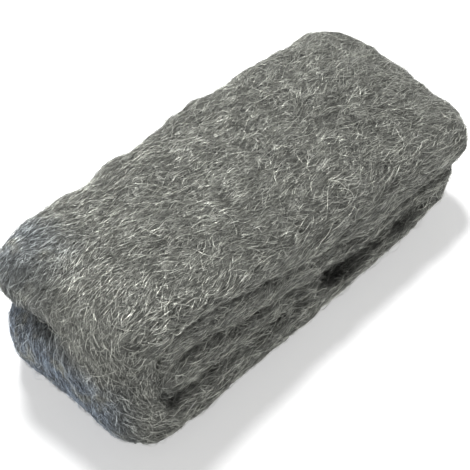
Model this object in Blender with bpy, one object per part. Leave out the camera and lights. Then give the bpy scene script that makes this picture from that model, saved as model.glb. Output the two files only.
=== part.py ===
"""A hand-sized steel wool pad, made as the real one is: one ribbon of steel wool rolled flat.

Seen from the long side, the ribbon starts at the cover's cut end at +X, runs back along the
top, turns down round the near fold, runs out along the base, turns up round the far fold,
comes back as the middle turn, turns down again inside the near fold and ends as a short tail.
All of it is one piece, so it is one closed solid whose turns part at narrow seams.

Metres, +Z up. The origin is the centre of the pad's box at its base. +X runs from the near
fold to the cut end, and +Z up through the turns.
"""

import math

import bmesh
import bpy
from mathutils import Vector, noise

# Overall size of the pad. Its height is taken at the near fold and at the far one
LENGTH = 0.110
WIDTH = 0.0440
NEAR_HEIGHT = 0.0425
FAR_HEIGHT = 0.0332

# The base lifts off the bench towards the far fold
LIFT = 0.0062
LIFT_START = 0.004

# The turns' shares of the height: base, tail, middle and cover at the near fold, and base and
# middle at the far one, where the cover takes what is left
NEAR_SHARES = (0.288, 0.283, 0.254, 0.175)
FAR_SHARES = (0.223, 0.215)
SEAM = 0.0005

# The turns under the cover thin late: the higher the power, the later
THINNING_POWER = 2.2

# The tail's reach from the near fold, its thickness at the tip, and how soon the middle turn
# settles past it
TAIL_REACH = 0.050
TAIL_TIP = 0.0036
SETTLE = 0.010

# How much the tail's tip, the cut end and the near fold slant across the width, as X for each Y
TAIL_SLANT = 0.30
CUT_END_SLANT = -0.065
NEAR_END_SLANT = -0.045
SLANT_BLEND = 0.026

# Folds: how deep each one reaches along X, and how square it is above and below (2 is an ellipse)
NEAR_FOLD_DEPTH = 0.0165
NEAR_FOLD_SQUARENESS = (3.6, 2.8)
FAR_FOLD_DEPTH = 0.0120
FAR_FOLD_SQUARENESS = (3.8, 1.8)
FAR_FOLD_SETBACK = 0.0022
FOLD_EYE = 0.0008

# Rounding: of the ribbon's side edges (1 is a true half round, less is fuller), of the pad's
# corners seen from above, and of the ribbon's two ends, as a share of a quarter round
EDGE_ROUND = 0.0030
EDGE_FULLNESS = 0.85
NEAR_CORNER = 0.0115
FAR_FOLD_CORNER = 0.0130
CUT_END_CORNER = 0.0095
CUT_END_ROUND = 0.0032
END_ROUNDNESS = 0.87

# The long top edges droop, the closer to the edge the higher the power, and so does the cover
# where it reaches out past the far fold
EDGE_DROOP = 0.0026
EDGE_DROOP_POWER = 5
CUT_END_DROOP = 0.0040

# The top face's twist: how much it rises for each metre along X times each metre along Y
TOP_TWIST = 3.2

# How far the long bottom edges turn up, the share of the half width where that starts, and
# the share of the height that it reaches
EDGE_RISE_NEAR = 0.0030
EDGE_RISE_FAR = 0.0046
EDGE_RISE_START = 0.62
EDGE_RISE_REACH = 0.5

# The crease pressed into the near fold. It is deepest at the +Y side and dies out past the
# middle. Below it the fold stands back a little
CREASE_DEPTH = 0.0074
CREASE_HEIGHT_LEFT = 0.0250
CREASE_HEIGHT_RIGHT = 0.0315
CREASE_SPREAD_LEFT = 0.0052
CREASE_SPREAD_RIGHT = 0.0028
CREASE_END_Y = -0.0150
CREASE_RISE = 1.3
CREASE_LOWER_SETBACK = 0.0022
CREASE_LOWER_BLEND = 0.0085

# Cross-wise ripples in the top face, over the middle of its length. The higher the fade, the
# sooner they reach their full depth
RIPPLE_PITCH = 0.0066
RIPPLE_DEPTH = 0.00028
RIPPLE_CENTRE = 0.006
RIPPLE_REACH = 0.030
RIPPLE_FADE = 2.0

# Soft lumps of the wool: (size of a lump, how far it moves the surface), and where each axis
# of that movement is read in the noise
LUMPS = ((0.028, 0.0008), (0.012, 0.0006))
LUMP_PLACES = ((8.2, 1.6, 4.1), (0.7, 8.6, 8.3), (1.4, 5.3, 2.6))
FLAT_BASE = 0.0060

# Tufts: how far apart they stand on the outer faces, how far they push them out, the share of
# the half width where they start on the sides, and where they are read in the noise
TUFT_SIZE = 0.0048
TUFT_HEIGHT = 0.00075
TUFT_SIDE_START = 0.7
TUFT_PLACE = (4.9, 5.5, 1.1)

# Steps of the sweep
RUN_STEP = 0.0042
COVER_STEP = 0.0020
NEAR_FOLD_STEPS = 24
FAR_FOLD_STEPS = 11
INNER_FOLD_STEPS = 7
FOLD_SAMPLES = 240
FLAT_STEPS = 14
SIDE_STEPS = 6
END_STEPS = 4

# Finish
STEEL_GREY = (0.168, 0.173, 0.162, 1.0)
STEEL_ROUGHNESS = 0.48
STEEL_METALLIC = 0.85

NEAR_X = -LENGTH / 2 + NEAR_FOLD_DEPTH
FAR_X = LENGTH / 2 - FAR_FOLD_SETBACK - FAR_FOLD_DEPTH
CUT_END_X = LENGTH / 2
TAIL_X = NEAR_X + TAIL_REACH
NEAR_WOOL = NEAR_HEIGHT - 3 * SEAM
FAR_WOOL = FAR_HEIGHT - LIFT - 2 * SEAM
BASE_NEAR, TAIL_NEAR, MIDDLE_NEAR, COVER_NEAR = [NEAR_WOOL * share for share in NEAR_SHARES]
BASE_FAR, MIDDLE_FAR = [FAR_WOOL * share for share in FAR_SHARES]
NEAR_WRAP = (COVER_NEAR + BASE_NEAR) / 2


def ease(t):
    """0 to 1 with no slope at either end."""
    t = min(max(t, 0.0), 1.0)
    return t * t * (3 - 2 * t)


def between(x, near, far):
    """A size that changes evenly from the near fold to the far one, and on past it."""
    return near + (far - near) * max(0.0, (x - NEAR_X) / (FAR_X - NEAR_X))


def thinning(x, near, far):
    """A turn's thickness, which changes mostly towards the far fold."""
    t = min(max((x - NEAR_X) / (FAR_X - NEAR_X), 0.0), 1.0)
    return near + (far - near) * t**THINNING_POWER


def base_bottom(x):
    return LIFT * max(0.0, (min(x, FAR_X) - LIFT_START) / (FAR_X - LIFT_START)) ** 2


def base_top(x):
    return base_bottom(x) + thinning(x, BASE_NEAR, BASE_FAR)


def tail_thickness(x):
    """The tail is whole for most of its reach and thins towards its tip."""
    return TAIL_NEAR + (TAIL_TIP - TAIL_NEAR) * ease((x - NEAR_X) / TAIL_REACH)


def tail_bottom(x):
    return base_top(x) + SEAM


def tail_top(x):
    return tail_bottom(x) + tail_thickness(x)


def middle_bottom(x):
    """The middle turn lies over the tail, then comes down onto the base past its tip."""
    over_tail = tail_thickness(min(x, TAIL_X)) + SEAM
    return base_top(x) + SEAM + over_tail * (1 - ease((x - TAIL_X) / SETTLE))


def middle_top(x):
    return middle_bottom(x) + thinning(x, MIDDLE_NEAR, MIDDLE_FAR)


def cover_bottom(x):
    return middle_top(x) + SEAM


def cover_droop(x):
    """How far the cover sinks where it reaches out past the far fold."""
    return CUT_END_DROOP * max(0.0, (x - FAR_X) / (CUT_END_X - FAR_X)) ** 2


def cover_under(x):
    return cover_bottom(x) - cover_droop(x)


def cover_top(x):
    return between(x, NEAR_HEIGHT, FAR_HEIGHT) - cover_droop(x)


def station(inner, outer, end_x=None, corner=0.0, narrow=0.0, shrink=1.0):
    """One cross-section of the ribbon: its inner and outer points in X and Z, and what rounds it."""
    return {
        "inner": inner,
        "outer": outer,
        "end_x": end_x,
        "corner": corner,
        "narrow": narrow,
        "shrink": shrink,
    }


def run(inner, outer, start, stop, step=RUN_STEP, **rounding):
    """Stations along one turn of the ribbon, between two heights that change with x."""
    steps = max(2, round(abs(stop - start) / step))
    for i in range(1, steps):
        x = start + (stop - start) * i / steps
        yield station((x, inner(x)), (x, outer(x)), **rounding)


def fold(pivot, inner, outer, squareness, steps, upwards, **rounding):
    """Stations round a fold, evenly spaced along its outer face.

    inner and outer are (reach along X, height above the pivot, height below it).
    """
    samples = []
    for i in range(FOLD_SAMPLES + 1):
        angle = math.pi * (0.5 - i / FOLD_SAMPLES) * (-1 if upwards else 1)
        power = 2 / squareness[0 if angle > 0 else 1]
        along = max(0.0, math.cos(angle)) ** power
        up = math.copysign(abs(math.sin(angle)) ** power, math.sin(angle))
        samples.append([
            (pivot[0] + reach * along, pivot[1] + up * (above if up > 0 else below))
            for reach, above, below in (inner, outer)
        ])
    length = [0.0]
    for before, after in zip(samples, samples[1:]):
        length.append(length[-1] + math.dist(before[1], after[1]))
    for i in range(steps + 1):
        nearest = min(range(len(samples)), key=lambda k: abs(length[k] - length[-1] * i / steps))
        yield station(*samples[nearest], **rounding)


def rounded_end(last, direction, round_length):
    """Stations that close the ribbon's end softly, from a full section."""
    for i in range(1, END_STEPS + 1):
        angle = math.pi / 2 * END_ROUNDNESS * i / END_STEPS
        shift = direction * round_length * math.sin(angle)
        moved = dict(last)
        moved["inner"] = (last["inner"][0] + shift, last["inner"][1])
        moved["outer"] = (last["outer"][0] + shift, last["outer"][1])
        moved["shrink"] = math.cos(angle)
        yield moved


def ribbon_stations():
    """The whole ribbon, from the cover's cut end at the top to the tail's tip inside."""
    cut = {"end_x": CUT_END_X, "corner": CUT_END_CORNER}
    near = {"end_x": -LENGTH / 2, "corner": NEAR_CORNER}
    far = {"end_x": FAR_X + FAR_FOLD_DEPTH, "corner": FAR_FOLD_CORNER}
    inside = {"narrow": EDGE_ROUND / 2}

    cover_start = CUT_END_X - CUT_END_ROUND
    first = station((cover_start, cover_under(cover_start)), (cover_start, cover_top(cover_start)), **cut)
    stations = list(rounded_end(first, 1, CUT_END_ROUND))[::-1] + [first]
    stations += run(cover_under, cover_top, cover_start, NEAR_X, COVER_STEP, **cut)

    near_pivot = (NEAR_X, tail_top(NEAR_X) + SEAM / 2)
    pivot_z = near_pivot[1]
    inner_reach = NEAR_WRAP - NEAR_FOLD_DEPTH
    near_inner = (inner_reach, cover_bottom(NEAR_X) - pivot_z, pivot_z - base_top(NEAR_X))
    near_outer = (-NEAR_FOLD_DEPTH, NEAR_HEIGHT - pivot_z, pivot_z)
    near_fold = (near_pivot, near_inner, near_outer, NEAR_FOLD_SQUARENESS)
    stations += fold(*near_fold, NEAR_FOLD_STEPS, False, **near)
    stations += run(base_top, base_bottom, NEAR_X, FAR_X)

    far_pivot = (FAR_X, base_top(FAR_X) + SEAM / 2)
    eye = SEAM / 2
    far_inner = (FOLD_EYE, eye, eye)
    far_outer = (FAR_FOLD_DEPTH, middle_top(FAR_X) - far_pivot[1], far_pivot[1] - base_bottom(FAR_X))
    stations += fold(far_pivot, far_inner, far_outer, FAR_FOLD_SQUARENESS, FAR_FOLD_STEPS, True, **far)
    stations += run(middle_bottom, middle_top, FAR_X, NEAR_X, **inside)

    inside_outer = (inner_reach + SEAM, middle_top(NEAR_X) - pivot_z, pivot_z - tail_bottom(NEAR_X))
    inside_inner = (-FOLD_EYE, eye, eye)
    inner_fold = (near_pivot, inside_inner, inside_outer, NEAR_FOLD_SQUARENESS)
    stations += fold(*inner_fold, INNER_FOLD_STEPS, False, **inside)
    tip_start = TAIL_X - TAIL_TIP
    stations += run(tail_top, tail_bottom, NEAR_X, tip_start, **inside)
    last = station((tip_start, tail_top(tip_start)), (tip_start, tail_bottom(tip_start)), **inside)
    stations.append(last)
    stations += rounded_end(last, 1, TAIL_TIP)
    return stations


def half_width(x, end_x, corner):
    """Half the ribbon's width, rounded off near the end that it turns or stops at."""
    if end_x is None:
        return WIDTH / 2
    into = corner - abs(end_x - x)
    if into <= 0:
        return WIDTH / 2
    return WIDTH / 2 - corner + math.sqrt(max(0.0, corner**2 - min(into, corner) ** 2))


def ring_shape():
    """The ribbon's section as (across, through): flat faces with half-round side edges."""
    shape = []
    for side in (1, -1):
        for i in range(FLAT_STEPS):
            shape.append(("flat", -side * (1 - 2 * i / FLAT_STEPS), side))
        for i in range(SIDE_STEPS):
            shape.append(("edge", side, math.pi * (0.5 - i / SIDE_STEPS)))
    return shape


def ring_points(one, shape):
    """The points of one station's ring."""
    points = []
    for kind, first, second in shape:
        if kind == "flat":
            across, bulge, through = first, 0.0, second
        else:
            across, bulge = first, max(0.0, math.cos(second)) ** EDGE_FULLNESS
            through = first * math.copysign(abs(math.sin(second)) ** EDGE_FULLNESS, math.sin(second))
        through *= one["shrink"]
        share = (1 + through) / 2
        x = one["inner"][0] + (one["outer"][0] - one["inner"][0]) * share
        z = one["inner"][1] + (one["outer"][1] - one["inner"][1]) * share
        reach = half_width(x, one["end_x"], one["corner"]) - one["narrow"]
        reach -= EDGE_ROUND * (1 - one["shrink"])
        y = across * (reach - EDGE_ROUND) + math.copysign(EDGE_ROUND * bulge, across)
        points.append(Vector((x, y, z)))
    return points


def close_end(body, ring):
    """Closes one end of the ribbon with strips from its upper edge to its lower one."""
    count = len(ring)
    half = SIDE_STEPS // 2
    for k in range(-half, FLAT_STEPS + half):
        pair = (k, k + 1)
        across = [(2 * FLAT_STEPS + SIDE_STEPS - n) % count for n in reversed(pair)]
        corners = []
        for n in [n % count for n in pair] + across:
            if ring[n] not in corners:
                corners.append(ring[n])
        body.faces.new(corners)


def press_crease(point):
    """Pushes the near fold's outer face in along the crease, and a little all over below it."""
    x, y, z = point
    if x > NEAR_X:
        return
    share = min(max((y - CREASE_END_Y) / (WIDTH / 2 - CREASE_END_Y), 0.0), 1.0)
    height = CREASE_HEIGHT_RIGHT + (CREASE_HEIGHT_LEFT - CREASE_HEIGHT_RIGHT) * share
    spread = CREASE_SPREAD_RIGHT + (CREASE_SPREAD_LEFT - CREASE_SPREAD_RIGHT) * share
    depth = CREASE_DEPTH * ease(share * CREASE_RISE) * math.exp(-(((z - height) / spread) ** 2))
    depth += CREASE_LOWER_SETBACK * share * ease((height - z) / CREASE_LOWER_BLEND)
    point.x += depth * ease((NEAR_X - x) / NEAR_FOLD_DEPTH)


def slant(point):
    """Slants the tail's tip, the cut end and the near fold across the width."""
    x, y, z = point
    inside = ease((x - NEAR_X) / SLANT_BLEND) * ease((FAR_X - x) / SLANT_BLEND)
    at_cut_end = ease((x - TAIL_X) / SLANT_BLEND)
    at_near_end = ease((NEAR_X + NEAR_FOLD_DEPTH - x) / SLANT_BLEND)
    point.x += y * (TAIL_SLANT * inside + CUT_END_SLANT * at_cut_end + NEAR_END_SLANT * at_near_end)


def ripple(x, z):
    """How far the top face rises or falls in its cross-wise ripples."""
    on_top = ease((z - NEAR_HEIGHT / 2) / (FAR_HEIGHT - NEAR_HEIGHT / 2))
    from_centre = x - RIPPLE_CENTRE
    strength = RIPPLE_DEPTH * on_top * ease(RIPPLE_FADE * (1 - abs(from_centre) / RIPPLE_REACH))
    return strength * math.sin(math.tau * from_centre / RIPPLE_PITCH)


def tuft(point):
    """Pushes the outer faces out and in by tufts: the top, the near fold, the far end and the sides."""
    x, y, z = point
    side = abs(y) / (WIDTH / 2)
    on_top = ease((z - cover_bottom(x)) / (cover_top(x) - cover_bottom(x)))
    at_near_end = ease((NEAR_X - NEAR_FOLD_DEPTH + NEAR_WRAP - x) / NEAR_WRAP)
    at_far_end = ease((x - FAR_X) / (CUT_END_X - FAR_X))
    on_side = ease((side - TUFT_SIDE_START) / (1 - TUFT_SIDE_START))
    push = TUFT_HEIGHT * noise.noise(point / TUFT_SIZE + Vector(TUFT_PLACE))
    return Vector((push * (at_far_end - at_near_end), push * math.copysign(on_side, y), push * on_top))


def soften(point):
    """Lets the long edges droop and moves the wool into soft lumps, with the base left flat."""
    x, y, z = point
    lifted = z / NEAR_HEIGHT
    free = ease(z / FLAT_BASE)
    out = abs(y) / (WIDTH / 2)
    rise = between(x, EDGE_RISE_NEAR, EDGE_RISE_FAR) * max(0.0, 1 - lifted / EDGE_RISE_REACH)
    rise *= ease((out - EDGE_RISE_START) / (1 - EDGE_RISE_START))
    droop = EDGE_DROOP * lifted**2 * out**EDGE_DROOP_POWER
    twist = TOP_TWIST * x * y * lifted
    moved = Vector((0.0, 0.0, rise - droop + twist + ripple(x, z))) + tuft(point) * free
    for size, amount in LUMPS:
        lump = Vector([noise.noise(point / size + Vector(place)) for place in LUMP_PLACES])
        moved += lump * amount * free
    return point + moved


def sweep_ribbon(name):
    """Extrudes the ribbon's section from station to station into one closed body."""
    shape = ring_shape()
    rings = [ring_points(one, shape) for one in ribbon_stations()]
    body = bmesh.new()
    first = [body.verts.new(p) for p in rings[0]]
    cap = body.faces.new(first)
    for ring in rings[1:]:
        cap = bmesh.ops.extrude_discrete_faces(body, faces=[cap])["faces"][0]
        for vert, point in zip(cap.verts, ring):
            vert.co = point
    last = list(cap.verts)
    body.faces.remove(cap)
    close_end(body, first)
    close_end(body, last)
    bmesh.ops.recalc_face_normals(body, faces=body.faces[:])
    for vert in body.verts:
        press_crease(vert.co)
        slant(vert.co)
        vert.co = soften(vert.co)
    centre_on_base(body)
    mesh = bpy.data.meshes.new(name)
    body.to_mesh(mesh)
    body.free()
    pad = bpy.data.objects.new(name, mesh)
    bpy.context.scene.collection.objects.link(pad)
    return pad


def centre_on_base(body):
    """Sets the body's box centre over the origin, with its lowest point at z = 0."""
    low = Vector([min(v.co[i] for v in body.verts) for i in range(3)])
    high = Vector([max(v.co[i] for v in body.verts) for i in range(3)])
    shift = Vector((-(low.x + high.x) / 2, -(low.y + high.y) / 2, -low.z))
    bmesh.ops.translate(body, verts=body.verts[:], vec=shift)


def steel_material():
    material = bpy.data.materials.new("steel_wool")
    material.use_nodes = True
    shader = material.node_tree.nodes["Principled BSDF"]
    shader.inputs["Base Color"].default_value = STEEL_GREY
    shader.inputs["Roughness"].default_value = STEEL_ROUGHNESS
    shader.inputs["Metallic"].default_value = STEEL_METALLIC
    material.diffuse_color = STEEL_GREY
    return material


def main():
    for old in list(bpy.data.objects):
        bpy.data.objects.remove(old)
    pad = sweep_ribbon("wool_pad")
    pad.data.materials.append(steel_material())
    pad.data.shade_smooth()


main()
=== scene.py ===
import math

import bmesh
import bpy
import numpy as np
from mathutils import Matrix, Vector, noise
from mathutils.bvhtree import BVHTree


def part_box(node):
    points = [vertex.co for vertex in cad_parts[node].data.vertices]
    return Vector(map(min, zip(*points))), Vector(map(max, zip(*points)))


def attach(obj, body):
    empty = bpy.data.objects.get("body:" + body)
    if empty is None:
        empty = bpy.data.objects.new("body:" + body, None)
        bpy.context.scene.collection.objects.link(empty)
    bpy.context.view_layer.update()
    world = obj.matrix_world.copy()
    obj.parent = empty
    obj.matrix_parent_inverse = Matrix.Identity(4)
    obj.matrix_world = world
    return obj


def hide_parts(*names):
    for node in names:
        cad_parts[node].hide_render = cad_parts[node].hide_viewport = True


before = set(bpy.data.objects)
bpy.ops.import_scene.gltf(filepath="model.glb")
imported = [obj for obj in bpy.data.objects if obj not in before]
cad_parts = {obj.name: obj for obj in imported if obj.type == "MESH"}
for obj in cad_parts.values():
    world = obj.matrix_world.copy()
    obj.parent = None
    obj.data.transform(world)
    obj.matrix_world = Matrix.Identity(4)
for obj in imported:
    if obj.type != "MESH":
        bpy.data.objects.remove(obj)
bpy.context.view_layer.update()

# The pad's own frame, in metres: X runs from the near fold to the cut end, Z up through the turns
pad_low, pad_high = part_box("wool_pad")
NEAR_FOLD_X = pad_low.x + 0.018
FOLD_CENTRE_Z = pad_high.z * 0.5
RIBBON_FALL = 0.06  # how much the turns fall for each metre along the pad

# The matted body
MAT_GRAIN = 0.00072
SETTLE_ROUNDS = 9
TUFTS = ((0.0026, 0.40, 0.9), (0.0013, 0.55, 0.6))  # size, stretch along the pad, share of the height
TUFT_HEIGHT = 0.00026
SIDE_TUFTS = 1.4  # how much higher the tufts stand on the long sides
BASE_KEPT_FLAT = 0.0006

# The seams between the turns, and the hollows
GROOVE_REACH = 0.003
GROOVE_OPENING = 0.0011
HOLLOW_REACH = 0.024
HOLLOW_TILT = 0.9
HOLLOW_WAYS = 7
HOLLOW_START = 0.15
HOLLOW_SPAN = 0.35
HOLLOW_SINK = 4.0
POCKET = 0.72  # a hollow as deep as this is a pocket, which isn't opened further
POCKET_EDGE = 0.2

# The strands
STRAND_SIDES = 3
SPARE_STRANDS = 1.3  # strands begun for each one wanted, because those that cross a groove are dropped
SHORT_AND_LONG = (0.55, 1.35)
BEND = 0.13
SWAY = 0.16
SWIRL = 0.6
SWIRL_SIZE = 0.0085
LEAP = 0.55  # a step this share of its length off the wool crosses a groove
SHARP_TURN = 0.1
BURIED = 0.35  # how far a strand's ends lie under the face, as a share of its lift
ARCH = 0.7
LIFT_SPREAD = (2.2, 0.45)  # the shape and scale of the gamma draw that each strand's lift comes from
WOBBLE = 0.22
HOLLOW_FILL = 0.0050  # how far a strand may stand off the floor of the deepest hollow
DEEP_HOLLOW = 0.5
BRIDGES = 0.28  # share of the strands across a groove that are left to bridge it
DEEP_BRIDGES = 0.75
BENCH_GAP = 0.0001
UNDERNEATH = 0.25  # share of the strands where the pad lies on the bench
POINTED = 0.4
THIN_AND_THICK = (0.65, 1.35)
TONE_SPREAD = (2.0, 2.4)  # the two shapes of the beta draw that each strand's tone comes from
HOLLOW_SHADE = 2.3
DARKEST_SHADE = 0.45

# Tones of the strands, as places on the run from dark to bright and the brightness there. The felted
# strands, which lie lower, are kept darker than the loose ones as painted shade, and the loose strands'
# brightest tones, near white, are partly painted glints
FELT_TONES = ((0.0, 0.03), (1.0, 0.80), (0.50, 0.26))
LOOSE_TONES = ((0.0, 0.08), (1.0, 1.0), (0.50, 0.60), (0.80, 0.95))
STEEL_TINT = (0.985, 1.0, 0.905)
STEEL_BLUE = (0.74, 0.85, 1.12, 1.0)

# The fibre pattern between the strands
FIBRE_WIDTH = 0.00020
FIBRE_STRETCH = 0.085
FIBRE_WAYS = ((0.0, 0.42), (0.5, 0.30), (-0.6, 0.28))  # each way's turn and its share of the pattern
FIBRE_WANDER = 0.0052

# The layers of strands, from the felted ones up to the few long ones
FELT = dict(strands=16100, steps=3, wander=0.30, curl=0.9, tones=FELT_TONES, metallic=0.7)
LOOSE = dict(strands=10900, steps=4, wander=0.28, curl=0.8, tones=LOOSE_TONES, metallic=0.85)
STRAND_LAYERS = {
    "felt_strands_low": dict(
        FELT, seed=11, length=0.0042, lift=0.00018, thickness=0.000095, roughness=0.36
    ),
    "felt_strands_high": dict(
        FELT, seed=23, length=0.0040, lift=0.00025, thickness=0.000085, roughness=0.34
    ),
    "loose_strands_low": dict(
        LOOSE, seed=37, length=0.0046, lift=0.00030, thickness=0.000072, roughness=0.34
    ),
    "loose_strands_high": dict(
        LOOSE, seed=51, length=0.0044, lift=0.00036, thickness=0.000066, roughness=0.33
    ),
    "long_strands": dict(
        LOOSE, strands=1100, steps=9, curl=0.9,
        seed=67, length=0.0100, lift=0.00042, thickness=0.000062, roughness=0.34,
    ),
}

# The studio
FLOOR_GLOW = 0.5
WORLD_LIGHT = 0.22
KEY_PLACE = (0.12, 0.24, 0.90)
KEY_AIM = (0, 0, 0.02)
KEY_SIZE = 0.24
KEY_POWER = 12.0

# The camera, at the photograph's angle
AZIMUTH, ELEVATION, ROLL = -45.79, 49.39, -0.17
DISTANCE = 0.3935
CAMERA_AIM = (0, 0, 0.018)
SENSOR = 36.0
FOCAL_PIXELS = 1800.0
IMAGE_PIXELS = 470.0
MOVED_PIXELS = (5.3, -7.5)


def new_object(name, data):
    """A new object at the origin, linked into the scene."""
    made = bpy.data.objects.new(name, data)
    bpy.context.scene.collection.objects.link(made)
    return made


def shape_of(thing):
    """The mesh that an object has once its modifiers or its bevel are worked out."""
    graph = bpy.context.evaluated_depsgraph_get()
    return bpy.data.meshes.new_from_object(thing.evaluated_get(graph))


def points_of(mesh):
    places = np.empty(len(mesh.vertices) * 3)
    mesh.vertices.foreach_get("co", places)
    return places.reshape(-1, 3)


def normals_of(mesh):
    turned = np.empty(len(mesh.vertices) * 3)
    mesh.vertices.foreach_get("normal", turned)
    return turned.reshape(-1, 3)


def move_points(mesh, places):
    mesh.vertices.foreach_set("co", places.ravel())
    mesh.update()


def share(part, whole):
    """What share of the whole each part is, held between 0 and 1."""
    return np.clip(part / whole, 0, 1)


def lengths(vectors):
    return np.linalg.norm(vectors, axis=1)[:, None]


def dots(first, second):
    return (first * second).sum(1)


def soft_noise(places, size, seed):
    """Smooth noise at each place, from about -1 to 1."""
    away = Vector((seed * 7.31, seed * 3.17, seed * 5.53))
    return np.array([noise.noise(Vector(p) / size + away) for p in places])


def turned_about(vectors, axes, angles):
    """Each vector turned about its own axis."""
    cos, sin = np.cos(angles)[:, None], np.sin(angles)[:, None]
    lift = dots(vectors, axes)[:, None]
    return vectors * cos + np.cross(axes, vectors) * sin + axes * lift * (1 - cos)


# The matted body


def matted_body():
    """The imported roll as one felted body, with its edges settled."""
    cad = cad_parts["wool_pad"]
    form = bmesh.new()
    form.from_mesh(cad.data)
    form.transform(cad.matrix_world)
    bmesh.ops.remove_doubles(form, verts=form.verts[:], dist=1e-6)
    mesh = bpy.data.meshes.new("roll")
    form.to_mesh(mesh)
    form.free()
    body = new_object("matted_wool", mesh)
    knit = body.modifiers.new("knit", "REMESH")
    knit.mode = "VOXEL"
    knit.voxel_size = MAT_GRAIN
    settle = body.modifiers.new("settle", "SMOOTH")
    settle.factor = 0.5
    settle.iterations = SETTLE_ROUNDS
    matted = shape_of(body)
    body.modifiers.clear()
    body.data = matted
    matted.name = "matted_wool"
    return body


def openness(tree, spots, ways):
    """How free each spot is: 0 where another turn lies right over it, 1 where nothing does."""
    off_the_face = 2e-5
    free = np.ones(len(spots))
    for k, (spot, way) in enumerate(zip(spots, ways)):
        hit = tree.ray_cast(spot + way * off_the_face, way, GROOVE_REACH)
        if hit[0] is not None:
            free[k] = hit[3] / GROOVE_REACH
    return free


def hollowness(tree, spots, ways):
    """How deep in a hollow each spot lies: 0 on an open face, 1 with wool close by all round."""
    off_the_face = 3e-4
    shut = np.zeros(len(spots))
    for k, (spot, way) in enumerate(zip(spots, ways)):
        way = Vector(way)
        aside = way.orthogonal().normalized()
        start = Vector(spot) + way * off_the_face
        for n in range(HOLLOW_WAYS):
            turn = Matrix.Rotation(math.tau * n / HOLLOW_WAYS, 3, way)
            hit = tree.ray_cast(start, (way + turn @ aside * HOLLOW_TILT).normalized(), HOLLOW_REACH)
            if hit[0] is not None:
                shut[k] += 1 - hit[3] / HOLLOW_REACH
    return shut / HOLLOW_WAYS


def spread_to_neighbours(mesh, values, rounds):
    """Evens out each point's value with those of the points that its edges lead to."""
    ends = np.empty(len(mesh.edges) * 2, np.int32)
    mesh.edges.foreach_get("vertices", ends)
    ends = ends.reshape(-1, 2)
    near = np.bincount(ends.ravel(), minlength=len(values))
    for _ in range(rounds):
        total = np.bincount(ends[:, 0], values[ends[:, 1]], len(values))
        total += np.bincount(ends[:, 1], values[ends[:, 0]], len(values))
        values = (values + total) / (near + 1)
    return values


def open_grooves(mesh):
    """Eases the wool back from the seams between the turns and from the crease."""
    places = points_of(mesh)
    out = normals_of(mesh)
    mesh.calc_loop_triangles()
    corners = [tuple(t.vertices) for t in mesh.loop_triangles]
    tree = BVHTree.FromPolygons(places.tolist(), corners)
    shut = 1 - openness(tree, places, out)
    hollow = hollowness(tree, places, out)
    sink = HOLLOW_SINK * np.clip(hollow - HOLLOW_START, 0, HOLLOW_SPAN) * share(POCKET - hollow, POCKET_EDGE)
    shut = spread_to_neighbours(mesh, np.maximum(shut, sink), 3)
    places -= out * (shut * GROOVE_OPENING)[:, None]
    move_points(mesh, places)


def roughen(mesh):
    """Lifts and sinks the matted face in small tufts, and leaves the base flat."""
    places = points_of(mesh)
    out = normals_of(mesh)
    tufts = 0
    for seed, (size, stretch, part) in enumerate(TUFTS, start=1):
        tufts += soft_noise(places * (stretch, 1.0, 1.0), size, seed) * part
    free = share(places[:, 2] - BASE_KEPT_FLAT, 0.002)
    loose = 1 + SIDE_TUFTS * np.abs(out[:, 1])
    places += out * (tufts * free * loose * TUFT_HEIGHT)[:, None]
    move_points(mesh, places)


def lay_of(places, out):
    """The way the fibres run: along the ribbon, over the near fold, and round the turns at the sides."""
    # Fibres have no front or back, so the lay is turned round where it would point back along X
    wrap = np.cross(np.array([0.0, 1.0, 0.0]), out)
    wrap *= np.where(wrap[:, :1] < -0.25, -1.0, 1.0)
    from_eye = places[:, [0, 2]] - np.array([NEAR_FOLD_X, FOLD_CENTRE_Z])
    round_eye = np.stack([-from_eye[:, 1], np.zeros(len(places)), from_eye[:, 0]], 1)
    round_eye /= lengths(round_eye) + 1e-9
    along = np.tile(np.array([1.0, 0.0, -RIBBON_FALL]), (len(places), 1))
    near = share(NEAR_FOLD_X + 0.004 - places[:, 0], 0.010)[:, None]
    flip = np.where(dots(round_eye, along)[:, None] < 0, -1.0, 1.0)
    side = along * (1 - near) + round_eye * flip * near
    # 0 on the top, the base and the folds, and 1 on the long sides
    sideways = np.clip(np.abs(out[:, 1:2]) * 1.6 - 0.5, 0, 1)
    lay = wrap * (1 - sideways) + side * sideways
    lay -= out * dots(lay, out)[:, None]
    return lay / (lengths(lay) + 1e-9)


def mark_points(mesh, name, kind, values):
    """Keeps a value for each point on the mesh, for its material to read."""
    mark = mesh.attributes.new(name, kind, "POINT")
    key = "vector" if kind == "FLOAT_VECTOR" else "value"
    mark.data.foreach_set(key, values.astype(np.float32).ravel())


def mark_lay(mesh):
    """Marks how far each point lies along the fibres and across them, so that patterns follow the lay."""
    places = points_of(mesh)
    out = normals_of(mesh)
    sideways = np.abs(out[:, 1])
    run_along = dots(places, lay_of(places, out))
    run_across = places[:, 1] * (1 - sideways) + places[:, 2] * sideways
    run_out = dots(places, out) * 0.5
    mark_points(mesh, "lay", "FLOAT_VECTOR", np.stack([run_along, run_across, run_out], 1))


# The loose strands


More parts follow.
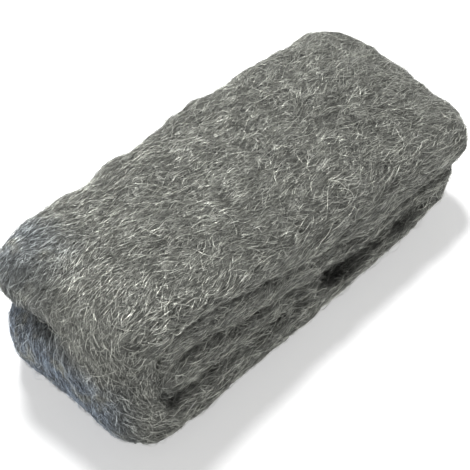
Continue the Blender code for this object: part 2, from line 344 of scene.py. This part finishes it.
class Wool:
    """The matted body's faces, for finding places on it."""

    def __init__(self, mesh):
        mesh.calc_loop_triangles()
        self.points = points_of(mesh)
        corners = np.empty(len(mesh.loop_triangles) * 3, np.int32)
        mesh.loop_triangles.foreach_get("vertices", corners)
        self.corners = corners.reshape(-1, 3)
        a, b, c = (self.points[self.corners[:, i]] for i in range(3))
        turned = np.cross(b - a, c - a)
        areas = np.linalg.norm(turned, axis=1) / 2
        self.out = turned / (lengths(turned) + 1e-15)
        self.tree = BVHTree.FromPolygons(self.points.tolist(), self.corners.tolist())
        middle = self.points[self.corners].mean(1)
        self.hollow = hollowness(self.tree, self.points, normals_of(mesh))
        # Fewer strands start in the seams, and fewer underneath
        below = (self.out[:, 2] < -0.5) & (middle[:, 2] < 0.002)
        odds = areas * openness(self.tree, middle, self.out)**1.5 * np.where(below, UNDERNEATH, 1.0)
        self.odds = odds / odds.sum()

    def scatter(self, count, luck):
        """Picks random places. Returns them with the way out of the wool and the face under each."""
        chosen = luck.choice(len(self.odds), count, p=self.odds)
        mix = luck.random((count, 2))
        flip = mix.sum(1) > 1
        mix[flip] = 1 - mix[flip]
        a, b, c = (self.points[self.corners[chosen, i]] for i in range(3))
        return a + (b - a) * mix[:, :1] + (c - a) * mix[:, 1:], self.out[chosen], chosen


def walk_over(wool, here, out, under, heading, step, bend, sway):
    """Walks each strand over the wool, one step at a time.

    Returns its points, the way out at each, how deep in a hollow each lies, and which strands cross
    a groove.
    """
    count, points = sway.shape
    path = np.empty((count, points, 3))
    face = np.empty((count, points, 3))
    deep = np.empty((count, points))
    crosses = np.zeros(count, bool)
    for k in range(points):
        path[:, k] = here
        face[:, k] = out
        deep[:, k] = wool.hollow[wool.corners[under]].mean(1)
        heading = turned_about(heading, out, bend + sway[:, k])
        ahead = here + heading * step[:, None]
        before = out.copy()
        for i in range(count):
            spot, normal, under[i], away = wool.tree.find_nearest(ahead[i])
            ahead[i] = spot
            out[i] = normal
            crosses[i] |= away > step[i] * LEAP
        crosses |= dots(before, out) < SHARP_TURN
        heading = ahead - here
        heading -= out * dots(heading, out)[:, None]
        heading /= lengths(heading) + 1e-12
        here = ahead
    return path, face, deep, crosses


def lay_strands(wool, wanted, layer):
    """Lays one layer of strands. Returns their points as (strand, point, xyz) and how deep each lies."""
    luck = np.random.default_rng(layer["seed"])
    count = int(wanted * SPARE_STRANDS)
    points = layer["steps"] + 1
    place, out, under = wool.scatter(count, luck)
    turn = luck.normal(0, layer["wander"], count) + SWIRL * soft_noise(place, SWIRL_SIZE, 5)
    heading = turned_about(lay_of(place, out), out, turn)
    heading *= np.where(luck.random(count) < 0.5, -1.0, 1.0)[:, None]
    step = layer["length"] * luck.uniform(*SHORT_AND_LONG, count) / layer["steps"]
    bend = luck.normal(0, BEND * layer["curl"], count)
    sway = luck.normal(0, SWAY * layer["curl"], (count, points))
    path, face, deep, crosses = walk_over(wool, place, out, under, heading, step, bend, sway)
    arch = np.sin(np.pi * np.linspace(0, 1, points)) ** ARCH
    height = layer["lift"] * luck.gamma(*LIFT_SPREAD, count)[:, None] * arch - BURIED * layer["lift"]
    height += HOLLOW_FILL * deep**1.5 * luck.random(count)[:, None] * arch
    wobble = luck.normal(0, layer["lift"] * WOBBLE, (count, points))
    # Some of the strands that reach across a groove are left to bridge it, more over a deep hollow
    bridges = luck.random(count) < np.where(deep.max(1) > DEEP_HOLLOW, DEEP_BRIDGES, BRIDGES)
    kept = np.flatnonzero(~crosses | bridges)[:wanted]
    paths = (path + face * (height + wobble)[:, :, None])[kept]
    paths[:, :, 2] = np.maximum(paths[:, :, 2], BENCH_GAP)
    return paths, deep[kept].mean(1)


def strand_section():
    """The three-cornered section that each strand is drawn with."""
    curve = bpy.data.curves.new("strand_section", "CURVE")
    line = curve.splines.new("POLY")
    line.points.add(STRAND_SIDES - 1)
    for k, point in enumerate(line.points):
        angle = math.tau * k / STRAND_SIDES
        point.co = (math.cos(angle), math.sin(angle), 0, 1)
    line.use_cyclic_u = True
    return new_object("strand_section", curve)


def strands_piece(name, paths, thickness, tones, seed, section):
    """One mesh of many closed strands, pointed at both ends, each with a tone of its own."""
    luck = np.random.default_rng(seed)
    count, points = paths.shape[:2]
    curve = bpy.data.curves.new(name, "CURVE")
    curve.dimensions = "3D"
    curve.bevel_mode = "OBJECT"
    curve.bevel_object = section
    curve.use_fill_caps = True
    taper = np.sin(np.pi * np.linspace(0, 1, points)) ** POINTED
    taper[[0, -1]] = 0
    for path in paths:
        line = curve.splines.new("POLY")
        line.points.add(points - 1)
        line.points.foreach_set("co", np.c_[path, np.ones(points)].ravel())
        line.points.foreach_set("radius", taper * thickness / 2 * luck.uniform(*THIN_AND_THICK))
    drawn = new_object(name + "_line", curve)
    mesh = shape_of(drawn)
    mesh.name = name
    bpy.data.objects.remove(drawn)
    map_strands(mesh, count, points)
    mark_points(mesh, "tone", "FLOAT", np.repeat(tones, points * STRAND_SIDES))
    tips = bmesh.new()
    tips.from_mesh(mesh)
    bmesh.ops.remove_doubles(tips, verts=tips.verts[:], dist=1e-7)
    tips.to_mesh(mesh)
    tips.free()
    return new_object(name, mesh)


def map_strands(mesh, strands, points):
    """Gives each strand a cell of its own in the map, with its length up the cell."""
    faces = len(mesh.polygons)
    total = np.empty(faces, np.int32)
    mesh.polygons.foreach_get("loop_total", total)
    corner = np.empty(len(mesh.loops), np.int32)
    mesh.loops.foreach_get("vertex_index", corner)
    strand = corner // (points * STRAND_SIDES)
    spot = corner % (points * STRAND_SIDES)
    ring = spot // STRAND_SIDES
    side = spot % STRAND_SIDES
    # The face that closes a ring starts at its last side, so its first side lies one turn on
    face_of = np.repeat(np.arange(faces), total)
    lowest = np.full(faces, STRAND_SIDES)
    np.minimum.at(lowest, face_of, side)
    highest = np.zeros(faces, np.int64)
    np.maximum.at(highest, face_of, side)
    closes = ((highest - lowest) == STRAND_SIDES - 1) & (total == 4)
    around = side + np.where(closes[face_of] & (side == 0), STRAND_SIDES, 0)
    cells = math.ceil(math.sqrt(strands))
    u = (strand % cells + 0.12 + 0.76 * around / STRAND_SIDES) / cells
    v = (strand // cells + 0.08 + 0.84 * ring / (points - 1)) / cells
    layer = mesh.uv_layers.new(name="OFBake")
    layer.uv.foreach_set("vector", np.stack([u, v], 1).astype(np.float32).ravel())


# Nodes


def add(tree, kind, **values):
    node = tree.nodes.new(kind)
    for key, value in values.items():
        setattr(node, key, value)
    return node


def combined(tree, operation, first, second):
    """The outcome of one sum on two values."""
    node = add(tree, "ShaderNodeMath", operation=operation)
    tree.links.new(first, node.inputs[0])
    tree.links.new(second, node.inputs[1])
    return node.outputs["Value"]


def ranged(tree, value, start, end, low=0.0, high=1.0, ease="SMOOTHSTEP"):
    """Turns a value's run from start to end into low to high."""
    node = add(tree, "ShaderNodeMapRange", interpolation_type=ease)
    node.inputs["From Min"].default_value = start
    node.inputs["From Max"].default_value = end
    node.inputs["To Min"].default_value = low
    node.inputs["To Max"].default_value = high
    tree.links.new(value, node.inputs["Value"])
    return node.outputs["Result"]


def clouds(tree, place, scale, detail):
    """Soft clouds of noise over the pad."""
    node = add(tree, "ShaderNodeTexNoise")
    node.inputs["Scale"].default_value = scale
    node.inputs["Detail"].default_value = detail
    tree.links.new(place, node.inputs["Vector"])
    return node


def multiplied(tree, colour):
    """A mix node that multiplies a colour by its second one, wholly unless its factor is less."""
    node = add(tree, "ShaderNodeMix", data_type="RGBA", blend_type="MULTIPLY")
    node.inputs["Factor"].default_value = 1.0
    tree.links.new(colour, node.inputs["A"])
    return node


def effect_group(name, takes, gives):
    """A new group with its named sockets. Returns it with what it is given and what it puts out."""
    group = bpy.data.node_groups.new(name, "ShaderNodeTree")
    for label, kind in takes.items():
        group.interface.new_socket(label, in_out="INPUT", socket_type=kind)
    for label, kind in gives.items():
        group.interface.new_socket(label, in_out="OUTPUT", socket_type=kind)
    given = add(group, "NodeGroupInput").outputs
    put_out = add(group, "NodeGroupOutput").inputs
    return group, given, put_out


def use_group(tree, group, place, **values):
    """Places a group in a material, with the place it reads and its own values."""
    node = add(tree, "ShaderNodeGroup", node_tree=group)
    tree.links.new(place, node.inputs["Place"])
    for key, value in values.items():
        node.inputs[key].default_value = value
    return node


def steel(name, metallic, roughness):
    """A new steel material. Returns it with its node tree and its shader."""
    material = bpy.data.materials.new(name)
    material.use_nodes = True
    shader = material.node_tree.nodes["Principled BSDF"]
    shader.inputs["Metallic"].default_value = metallic
    shader.inputs["Roughness"].default_value = roughness
    return material, material.node_tree, shader


# Finishes


def tangle_group():
    """Fine crossing fibres as a pattern: how high each one stands, and a tone that follows that height, so
    that the gaps between fibres take painted shade.
    """
    group, given, put_out = effect_group(
        "fibre_tangle",
        {"Place": "NodeSocketVector", "Fibre": "NodeSocketFloat"},
        {"Tone": "NodeSocketFloat", "Height": "NodeSocketFloat"},
    )
    link = group.links.new
    total = None
    for k, (turn, part) in enumerate(FIBRE_WAYS):
        wave = clouds(group, given["Place"], 170.0, 1.0)
        centred = add(group, "ShaderNodeVectorMath", operation="SUBTRACT")
        centred.inputs[1].default_value = (0.5, 0.5, 0.5)
        link(wave.outputs["Color"], centred.inputs[0])
        offset = add(group, "ShaderNodeVectorMath", operation="SCALE")
        offset.inputs["Scale"].default_value = FIBRE_WANDER
        link(centred.outputs["Vector"], offset.inputs[0])
        moved = add(group, "ShaderNodeVectorMath", operation="ADD")
        link(given["Place"], moved.inputs[0])
        link(offset.outputs["Vector"], moved.inputs[1])
        turned = add(group, "ShaderNodeMapping")
        turned.inputs["Rotation"].default_value = (0.0, turn * 0.6, turn)
        turned.inputs["Location"].default_value = (0.013 * k, 0.007 * k, 0.011 * k)
        link(moved.outputs["Vector"], turned.inputs["Vector"])
        stretched = add(group, "ShaderNodeMapping")
        stretched.inputs["Scale"].default_value = (FIBRE_STRETCH, 1.0, 1.0)
        link(turned.outputs["Vector"], stretched.inputs["Vector"])
        rate = add(group, "ShaderNodeMath", operation="DIVIDE")
        rate.inputs[0].default_value = 0.5
        link(given["Fibre"], rate.inputs[1])
        strands = clouds(group, stretched.outputs["Vector"], 1.0, 1.5)
        strands.inputs["Roughness"].default_value = 0.6
        link(rate.outputs["Value"], strands.inputs["Scale"])
        fibres = ranged(group, strands.outputs["Fac"], 0.36, 0.70, high=part)
        total = fibres if total is None else combined(group, "ADD", total, fibres)
    link(total, put_out["Height"])
    link(total, put_out["Tone"])
    return group


def hue_group():
    """The pad's slow changes of tone: a bluish near end, patches of fuller and thinner wool."""
    group, given, put_out = effect_group(
        "wool_hue",
        {"Place": "NodeSocketVector", "Steel": "NodeSocketColor"},
        {"Steel": "NodeSocketColor"},
    )
    link = group.links.new
    place = add(group, "ShaderNodeSeparateXYZ")
    link(given["Place"], place.inputs["Vector"])
    # The blue lies on the near end, low down and at its +Y corner, and fades before the -Y corner
    near = ranged(group, place.outputs["X"], -0.034, -0.045)
    low = ranged(group, place.outputs["Z"], 0.030, 0.018)
    left = ranged(group, place.outputs["Y"], -0.004, 0.022, high=0.5)
    inward = ranged(group, place.outputs["Y"], -0.0215, -0.011)
    patchy = ranged(group, clouds(group, given["Place"], 190.0, 4.0).outputs["Fac"], 0.28, 0.52)
    there = combined(group, "MULTIPLY", near, inward)
    there = combined(group, "MULTIPLY", there, combined(group, "MAXIMUM", low, left))
    blued = multiplied(group, given["Steel"])
    blued.inputs["B"].default_value = STEEL_BLUE
    link(combined(group, "MULTIPLY", there, patchy), blued.inputs["Factor"])
    drift = clouds(group, given["Place"], 130.0, 3.0)
    shade = ranged(group, drift.outputs["Fac"], 0.3, 0.7, 0.86, 1.14, "LINEAR")
    shaded = multiplied(group, blued.outputs["Result"])
    link(shade, shaded.inputs["B"])
    link(shaded.outputs["Result"], put_out["Steel"])
    return group


def matted_steel(tangle, hue):
    """The dense wool under the loose strands: steel grey on its fibres, with painted shade in the gaps
    between them and in the hollows.
    """
    material, tree, shader = steel("matted_steel", 0.55, 0.5)
    link = tree.links.new
    place = add(tree, "ShaderNodeTexCoord").outputs["Object"]
    lay = add(tree, "ShaderNodeAttribute", attribute_name="lay").outputs["Vector"]
    deep = add(tree, "ShaderNodeAttribute", attribute_name="deep").outputs["Fac"]
    fibres = use_group(tree, tangle, lay, Fibre=FIBRE_WIDTH)
    # The ramp's near-black end is painted shade in the gaps between fibres, and its grey end is the steel's
    # own colour
    tone = add(tree, "ShaderNodeValToRGB")
    dark, bright = tone.color_ramp.elements
    dark.color = (0.012, 0.012, 0.011, 1)
    dark.position = 0.15
    bright.color = (0.40, 0.41, 0.37, 1)
    bright.position = 0.85
    link(fibres.outputs["Tone"], tone.inputs["Fac"])
    toned = use_group(tree, hue, place)
    link(tone.outputs["Color"], toned.inputs["Steel"])
    # Painted shade: the wool's colour is darkened the deeper in a hollow it lies
    shaded = add(tree, "ShaderNodeVectorMath", operation="SCALE")
    link(toned.outputs["Steel"], shaded.inputs[0])
    link(ranged(tree, deep, 0.0, 0.5, 1.0, 0.55, "LINEAR"), shaded.inputs["Scale"])
    link(shaded.outputs["Vector"], shader.inputs["Base Color"])
    bump = add(tree, "ShaderNodeBump")
    bump.inputs["Strength"].default_value = 0.8
    bump.inputs["Distance"].default_value = 0.0004
    link(fibres.outputs["Height"], bump.inputs["Height"])
    link(bump.outputs["Normal"], shader.inputs["Normal"])
    return material


def strand_steel(name, tones, metallic, roughness, hue):
    """Steel of the loose strands, lighter or darker from one strand to the next, partly at random and partly
    as the painted shade and glints that their tones carry.
    """
    material, tree, shader = steel(name, metallic, roughness)
    link = tree.links.new
    place = add(tree, "ShaderNodeTexCoord").outputs["Object"]
    each = add(tree, "ShaderNodeAttribute", attribute_name="tone").outputs["Fac"]
    # A fine noise moves the tone along each strand: partly random tone, partly painted glints
    grain = clouds(tree, place, 1100.0, 1.0)
    tone_flicker_and_glint = ranged(tree, grain.outputs["Fac"], 0.3, 0.7, -0.12, 0.12, "LINEAR")
    tone = add(tree, "ShaderNodeValToRGB")
    stops = tone.color_ramp.elements
    for k, (spot, level) in enumerate(tones):
        stop = stops[k] if k < 2 else stops.new(spot)
        stop.position = spot
        stop.color = (level * STEEL_TINT[0], level * STEEL_TINT[1], level * STEEL_TINT[2], 1)
    link(combined(tree, "ADD", each, tone_flicker_and_glint), tone.inputs["Fac"])
    toned = use_group(tree, hue, place)
    link(tone.outputs["Color"], toned.inputs["Steel"])
    link(toned.outputs["Steel"], shader.inputs["Base Color"])
    return material


# The pad's pieces

body = matted_body()
open_grooves(body.data)
roughen(body.data)
mark_lay(body.data)
body.data.shade_smooth()
wool = Wool(body.data)
# The hollowness is kept on the body for its material, which paints shade in the hollows with it
mark_points(body.data, "deep", "FLOAT", wool.hollow)

tangle = tangle_group()
hue = hue_group()
body.data.materials.clear()
body.data.materials.append(matted_steel(tangle, hue))
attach(body, "root")
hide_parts("wool_pad")

section = strand_section()
for name, layer in STRAND_LAYERS.items():
    wanted = layer["strands"] // 1
    seed = layer["seed"]
    paths, hollows = lay_strands(wool, wanted, layer)
    own_tones = np.random.default_rng(seed + 2).beta(*TONE_SPREAD, len(paths))
    # Painted shade: each strand's tone is darkened the deeper in a hollow it lies, to no less than
    # DARKEST_SHADE of it
    own_tones *= np.maximum(DARKEST_SHADE, 1 - HOLLOW_SHADE * hollows)
    piece = strands_piece(name, paths, layer["thickness"], own_tones, seed + 1, section)
    finish = strand_steel(name + "_steel", layer["tones"], layer["metallic"], layer["roughness"], hue)
    piece.data.materials.append(finish)
    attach(piece, "root")
bpy.data.objects.remove(section)


# Floor, light and camera


def seen_as_backdrop(tree):
    """1 for camera, glossy and transmission rays, which see plain white, and 0 for light on the pad."""
    path = add(tree, "ShaderNodeLightPath").outputs
    seen = combined(tree, "MAXIMUM", path["Is Camera Ray"], path["Is Glossy Ray"])
    return combined(tree, "MAXIMUM", seen, path["Is Transmission Ray"])


def pale_floor():
    """A pale floor that shows as the white background, with the pad's soft shadow left on it."""
    grid = bmesh.new()
    bmesh.ops.create_grid(grid, x_segments=1, y_segments=1, size=4.0)
    bmesh.ops.translate(grid, verts=grid.verts[:], vec=(0, 0, -BENCH_GAP))
    mesh = bpy.data.meshes.new("floor")
    grid.to_mesh(mesh)
    grid.free()
    ground = new_object("floor", mesh)
    material = bpy.data.materials.new("pale_floor")
    material.use_nodes = True
    tree = material.node_tree
    shader = tree.nodes["Principled BSDF"]
    shader.inputs["Base Color"].default_value = (0.82, 0.82, 0.82, 1)
    shader.inputs["Roughness"].default_value = 0.9
    shader.inputs["Specular IOR Level"].default_value = 0.0
    shader.inputs["Emission Color"].default_value = (1, 1, 1, 1)
    glow = ranged(tree, seen_as_backdrop(tree), 0.0, 1.0, 0.0, FLOOR_GLOW, "LINEAR")
    tree.links.new(glow, shader.inputs["Emission Strength"])
    mesh.materials.append(material)


def white_world():
    """A world that shows as white and lights the pad softly from all round."""
    world = bpy.data.worlds.new("studio")
    bpy.context.scene.world = world
    world.use_nodes = True
    sky = world.node_tree
    background = sky.nodes["Background"]
    background.inputs["Color"].default_value = (1, 1, 1, 1)
    level = ranged(sky, seen_as_backdrop(sky), 0.0, 1.0, WORLD_LIGHT, 1.0, "LINEAR")
    sky.links.new(level, background.inputs["Strength"])


def key_lamp():
    """The one soft lamp, high over the far side."""
    light = bpy.data.lights.new("key", "AREA")
    light.shape = "DISK"
    light.size = KEY_SIZE
    light.energy = KEY_POWER
    lamp = new_object("key", light)
    way = Vector(KEY_AIM) - Vector(KEY_PLACE)
    turn = way.to_track_quat("-Z", "Y").to_matrix().to_4x4()
    lamp.matrix_world = Matrix.Translation(KEY_PLACE) @ turn


def photo_camera():
    """The camera, looking at the pad from the photograph's side."""
    lens = bpy.data.cameras.new("camera")
    lens.sensor_width = SENSOR
    lens.lens = FOCAL_PIXELS / IMAGE_PIXELS * SENSOR
    lens.shift_x = -MOVED_PIXELS[0] / IMAGE_PIXELS
    lens.shift_y = MOVED_PIXELS[1] / IMAGE_PIXELS
    lens.clip_start = 0.01
    camera = new_object("camera", lens)
    azimuth, elevation = math.radians(AZIMUTH), math.radians(ELEVATION)
    back = Vector((
        math.sin(azimuth) * math.cos(elevation),
        -math.cos(azimuth) * math.cos(elevation),
        math.sin(elevation),
    ))
    turn = back.to_track_quat("Z", "Y").to_matrix() @ Matrix.Rotation(math.radians(ROLL), 3, "Z")
    camera.matrix_world = Matrix.Translation(Vector(CAMERA_AIM) + back * DISTANCE) @ turn.to_4x4()
    bpy.context.scene.camera = camera


pale_floor()
white_world()
key_lamp()
photo_camera()
bpy.context.scene.view_settings.view_transform = "Standard"
